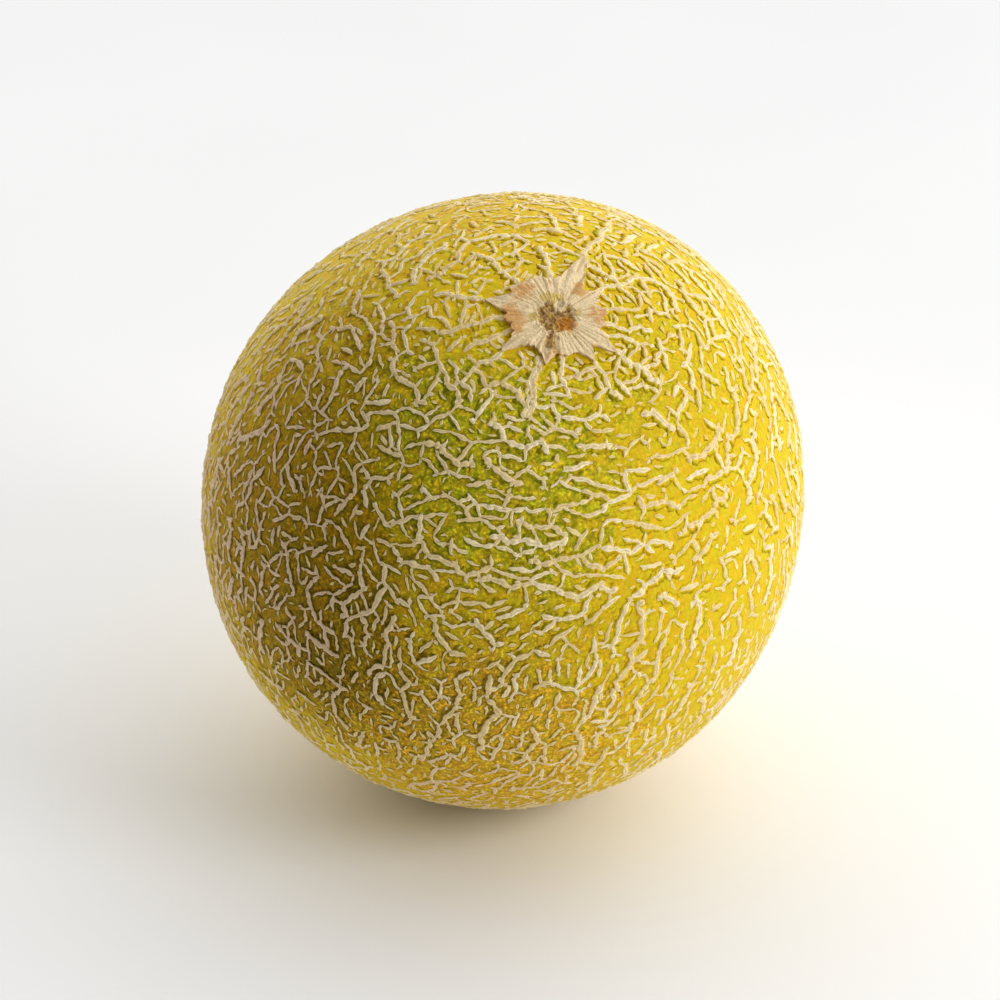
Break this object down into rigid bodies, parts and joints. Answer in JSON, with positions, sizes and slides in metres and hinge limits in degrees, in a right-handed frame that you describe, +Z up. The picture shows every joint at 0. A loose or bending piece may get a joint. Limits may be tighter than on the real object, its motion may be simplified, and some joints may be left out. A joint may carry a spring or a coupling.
{
  "type": "whole netted melon",
  "caption": "Whole round netted melon with raised corky net, star-shaped stalk scar and a small flat resting spot.",
  "frame": {"origin": "middle of the underside: the centre of the melon's box in X and Y, on the plane of the flat resting spot", "axes": "+Z up from the resting spot; the stalk scar looks up and toward -Y, a little to +X"},
  "size_m": [0.1442, 0.1463, 0.1451],
  "materials": {
    "rind": "satin golden rind under a raised cream net"
  },
  "bodies": {
    "root": {"melon": "rind"}
  },
  "joints": []
}
